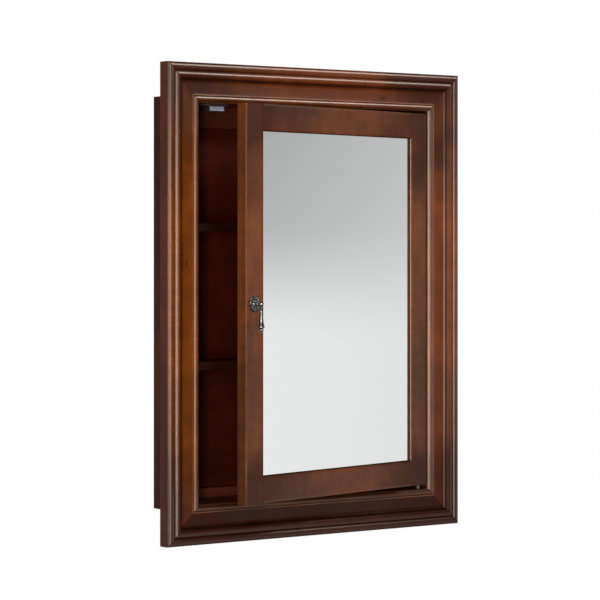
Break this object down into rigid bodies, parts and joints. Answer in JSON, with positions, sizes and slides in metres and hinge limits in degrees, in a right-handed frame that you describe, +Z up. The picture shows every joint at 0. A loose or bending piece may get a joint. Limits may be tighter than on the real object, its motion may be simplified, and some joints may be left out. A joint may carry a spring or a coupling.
{
  "type": "medicine cabinet with mirror",
  "caption": "Wall cabinet with a framed mirror door that swings right-hinged, beaded mitred face frame, shelves inside, drop pull and magnetic catch.",
  "frame": {"origin": "middle of the cabinet's back face, on the wall", "axes": "+X right as the door is faced, +Y back into the wall, +Z up"},
  "size_m": [0.686, 0.2635, 0.88],
  "materials": {
    "stained_wood": "satin lacquered dark cherry stain",
    "box_wood": "satin dark stain",
    "raw_wood": "bare beech",
    "backing_board": "plain brown hardboard",
    "mirror": "silvered glass",
    "zinc_steel": "zinc plated",
    "brass_plate": "brass plated",
    "pewter": "antique pewter",
    "catch_plastic": "moulded",
    "magnet": "sintered ferrite",
    "nylon": "natural nylon"
  },
  "bodies": {
    "cabinet": {"left_side": "box_wood", "right_side": "box_wood", "top_panel": "box_wood", "bottom_panel": "box_wood", "back_panel": "box_wood", "hanging_rail": "box_wood", "bottom_cleat": "box_wood", "frame_left_stile": "stained_wood", "frame_right_stile": "stained_wood", "frame_top_rail": "stained_wood", "frame_bottom_rail": "stained_wood", "mitre_splines": "raw_wood", "frame_dowels": "raw_wood", "box_dowels": "raw_wood", "back_brads": "zinc_steel", "upper_shelf": "box_wood", "lower_shelf": "box_wood", "upper_shelf_pins": "zinc_steel", "lower_shelf_pins": "zinc_steel", "catch_housing": "catch_plastic", "catch_magnet": "magnet", "catch_pole_plates": "zinc_steel", "catch_screws": "zinc_steel", "top_hinge_pin_plate": "brass_plate", "bottom_hinge_pin_plate": "brass_plate", "hinge_washer": "nylon", "frame_hinge_screws": "brass_plate"},
    "door": {"door_left_stile": "stained_wood", "door_right_stile": "stained_wood", "door_top_rail": "stained_wood", "door_bottom_rail": "stained_wood", "door_dowels": "raw_wood", "mirror_glass": "mirror", "mirror_backing": "backing_board", "mirror_clips": "zinc_steel", "mirror_clip_screws": "zinc_steel", "top_hinge_door_plate": "brass_plate", "bottom_hinge_door_plate": "brass_plate", "door_hinge_screws": "brass_plate", "strike_plate": "zinc_steel", "strike_screw": "zinc_steel", "pull_rosette": "pewter", "pull_post": "pewter", "pull_screw": "zinc_steel"},
    "drop": {"pull_drop": "pewter", "pull_pin": "zinc_steel"}
  },
  "joints": [
    {"name": "door_swing", "type": "hinge", "parent": "cabinet", "child": "door", "pos_m": [0.25, -0.1205, 0], "axis": [0, 0, 1], "range_deg": [-13.2, 96.8]},
    {"name": "drop_swing", "type": "hinge", "parent": "door", "child": "drop", "pos_m": [-0.22524, -0.25764, 0.0015], "axis": [-0.9736, -0.2284, 0], "range_deg": [-8, 95]}
  ]
}
